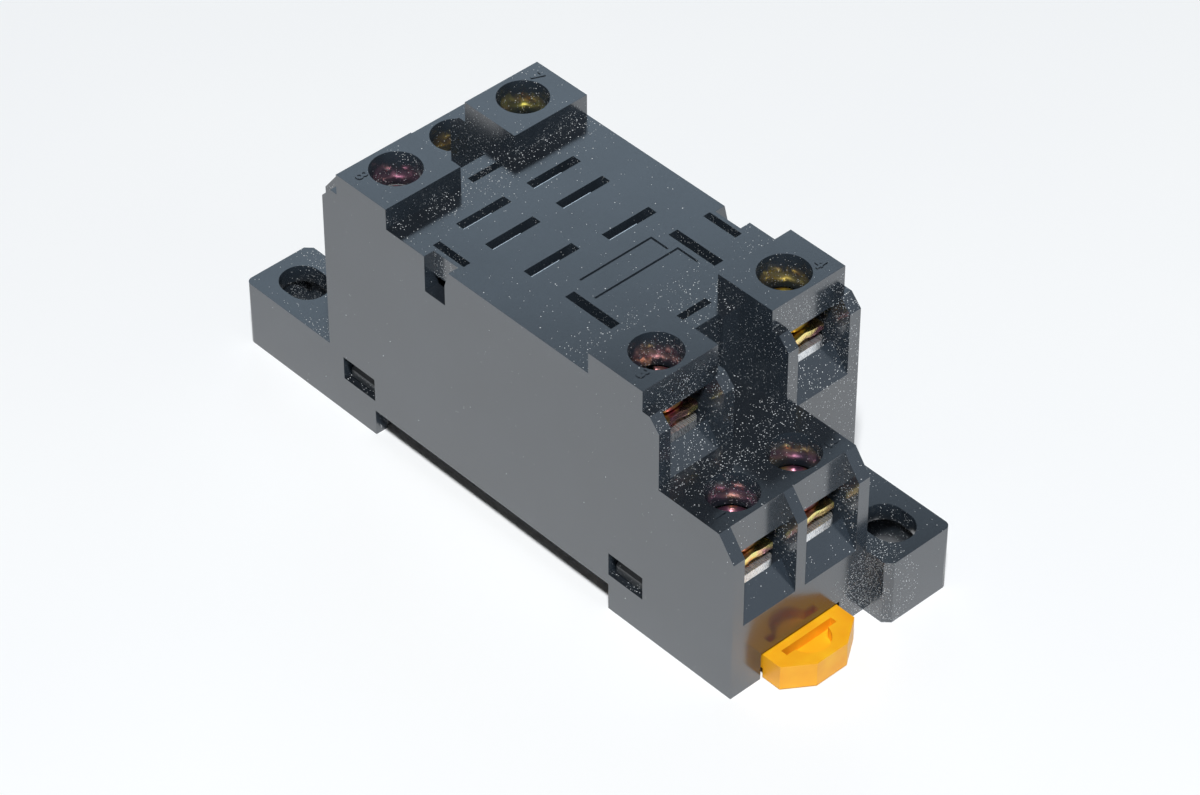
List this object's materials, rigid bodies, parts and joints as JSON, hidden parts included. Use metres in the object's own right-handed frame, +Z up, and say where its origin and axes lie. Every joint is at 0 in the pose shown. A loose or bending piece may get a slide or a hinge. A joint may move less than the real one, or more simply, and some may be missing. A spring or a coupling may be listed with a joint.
{
  "type": "relay socket",
  "caption": "Two-tier plug-in relay socket in black plastic with screw terminals, pin slots, two slotted mounting ears and a sprung orange rail slider.",
  "frame": {"origin": "middle of the rail channel, in the plane of the feet", "axes": "+X along the socket toward the end with the slider, +Y across it along the rail, +Z up"},
  "size_m": [0.0781, 0.0274, 0.032],
  "materials": {
    "black_plastic": "moulded charcoal thermoplastic, satin gloss",
    "cover_plastic": "moulded charcoal thermoplastic, satin",
    "orange_plastic": "moulded orange-yellow thermoplastic",
    "spring_steel": "drawn spring wire",
    "plated_brass": "stamped brass with a bright plating",
    "yellow_zinc_clamp": "pressed steel, yellow passivated zinc",
    "yellow_zinc_screw": "steel, yellow passivated zinc"
  },
  "bodies": {
    "socket": {"housing": "black_plastic", "base_cover": "cover_plastic", "slider_spring": "spring_steel", "contact_1": "plated_brass", "contact_2": "plated_brass", "contact_3": "plated_brass", "contact_4": "plated_brass", "contact_5": "plated_brass", "contact_6": "plated_brass", "contact_7": "plated_brass", "contact_8": "plated_brass"},
    "slider": {"din_slider": "orange_plastic"},
    "clamp_1": {"clamp_1": "yellow_zinc_clamp"},
    "screw_1": {"screw_1": "yellow_zinc_screw"},
    "clamp_2": {"clamp_2": "yellow_zinc_clamp"},
    "screw_2": {"screw_2": "yellow_zinc_screw"},
    "clamp_3": {"clamp_3": "yellow_zinc_clamp"},
    "screw_3": {"screw_3": "yellow_zinc_screw"},
    "clamp_4": {"clamp_4": "yellow_zinc_clamp"},
    "screw_4": {"screw_4": "yellow_zinc_screw"},
    "clamp_5": {"clamp_5": "yellow_zinc_clamp"},
    "screw_5": {"screw_5": "yellow_zinc_screw"},
    "clamp_6": {"clamp_6": "yellow_zinc_clamp"},
    "screw_6": {"screw_6": "yellow_zinc_screw"},
    "clamp_7": {"clamp_7": "yellow_zinc_clamp"},
    "screw_7": {"screw_7": "yellow_zinc_screw"},
    "clamp_8": {"clamp_8": "yellow_zinc_clamp"},
    "screw_8": {"screw_8": "yellow_zinc_screw"}
  },
  "joints": [
    {"name": "slider_pull", "type": "slide", "parent": "socket", "child": "slider", "axis": [1, 0, 0], "range_m": [0, 0.0025], "stiffness_N_per_m": 1500, "springref_m": -0.002, "deforming": ["slider_spring"]},
    {"name": "clamp_1_travel", "type": "slide", "parent": "socket", "child": "clamp_1", "axis": [0, 0, 1], "range_m": [-0.0007, 0.0012]},
    {"name": "screw_1_turn", "type": "hinge", "parent": "clamp_1", "child": "screw_1", "pos_m": [0.0297, -0.0086, 0.0168], "axis": [0, 0, 1], "range_deg": [-420.01, 720.01]},
    {"name": "clamp_2_travel", "type": "slide", "parent": "socket", "child": "clamp_2", "axis": [0, 0, 1], "range_m": [-0.0007, 0.0012]},
    {"name": "screw_2_turn", "type": "hinge", "parent": "clamp_2", "child": "screw_2", "pos_m": [0.0297, -0.0002, 0.0168], "axis": [0, 0, 1], "range_deg": [-420.01, 720.01]},
    {"name": "clamp_3_travel", "type": "slide", "parent": "socket", "child": "clamp_3", "axis": [0, 0, 1], "range_m": [-0.0007, 0.0012]},
    {"name": "screw_3_turn", "type": "hinge", "parent": "clamp_3", "child": "screw_3", "pos_m": [0.019, -0.0086, 0.02795], "axis": [0, 0, 1], "range_deg": [-420.01, 720.01]},
    {"name": "clamp_4_travel", "type": "slide", "parent": "socket", "child": "clamp_4", "axis": [0, 0, 1], "range_m": [-0.0007, 0.0012]},
    {"name": "screw_4_turn", "type": "hinge", "parent": "clamp_4", "child": "screw_4", "pos_m": [0.019, 0.0086, 0.02795], "axis": [0, 0, 1], "range_deg": [-420.01, 720.01]},
    {"name": "clamp_5_travel", "type": "slide", "parent": "socket", "child": "clamp_5", "axis": [0, 0, 1], "range_m": [-0.0007, 0.0012]},
    {"name": "screw_5_turn", "type": "hinge", "parent": "clamp_5", "child": "screw_5", "pos_m": [-0.0297, 0.0086, 0.0168], "axis": [0, 0, 1], "range_deg": [-420.01, 720.01]},
    {"name": "clamp_6_travel", "type": "slide", "parent": "socket", "child": "clamp_6", "axis": [0, 0, 1], "range_m": [-0.0007, 0.0012]},
    {"name": "screw_6_turn", "type": "hinge", "parent": "clamp_6", "child": "screw_6", "pos_m": [-0.0297, 0.0002, 0.0168], "axis": [0, 0, 1], "range_deg": [-420.01, 720.01]},
    {"name": "clamp_7_travel", "type": "slide", "parent": "socket", "child": "clamp_7", "axis": [0, 0, 1], "range_m": [-0.0007, 0.0012]},
    {"name": "screw_7_turn", "type": "hinge", "parent": "clamp_7", "child": "screw_7", "pos_m": [-0.019, 0.0086, 0.02795], "axis": [0, 0, 1], "range_deg": [-420.01, 720.01]},
    {"name": "clamp_8_travel", "type": "slide", "parent": "socket", "child": "clamp_8", "axis": [0, 0, 1], "range_m": [-0.0007, 0.0012]},
    {"name": "screw_8_turn", "type": "hinge", "parent": "clamp_8", "child": "screw_8", "pos_m": [-0.019, -0.0086, 0.02795], "axis": [0, 0, 1], "range_deg": [-420.01, 720.01]}
  ],
  "couplings": [
    {"joint": "screw_1_turn", "follows": "clamp_1_travel", "rad_per_m": 10472},
    {"joint": "screw_2_turn", "follows": "clamp_2_travel", "rad_per_m": 10472},
    {"joint": "screw_3_turn", "follows": "clamp_3_travel", "rad_per_m": 10472},
    {"joint": "screw_4_turn", "follows": "clamp_4_travel", "rad_per_m": 10472},
    {"joint": "screw_5_turn", "follows": "clamp_5_travel", "rad_per_m": 10472},
    {"joint": "screw_6_turn", "follows": "clamp_6_travel", "rad_per_m": 10472},
    {"joint": "screw_7_turn", "follows": "clamp_7_travel", "rad_per_m": 10472},
    {"joint": "screw_8_turn", "follows": "clamp_8_travel", "rad_per_m": 10472}
  ]
}
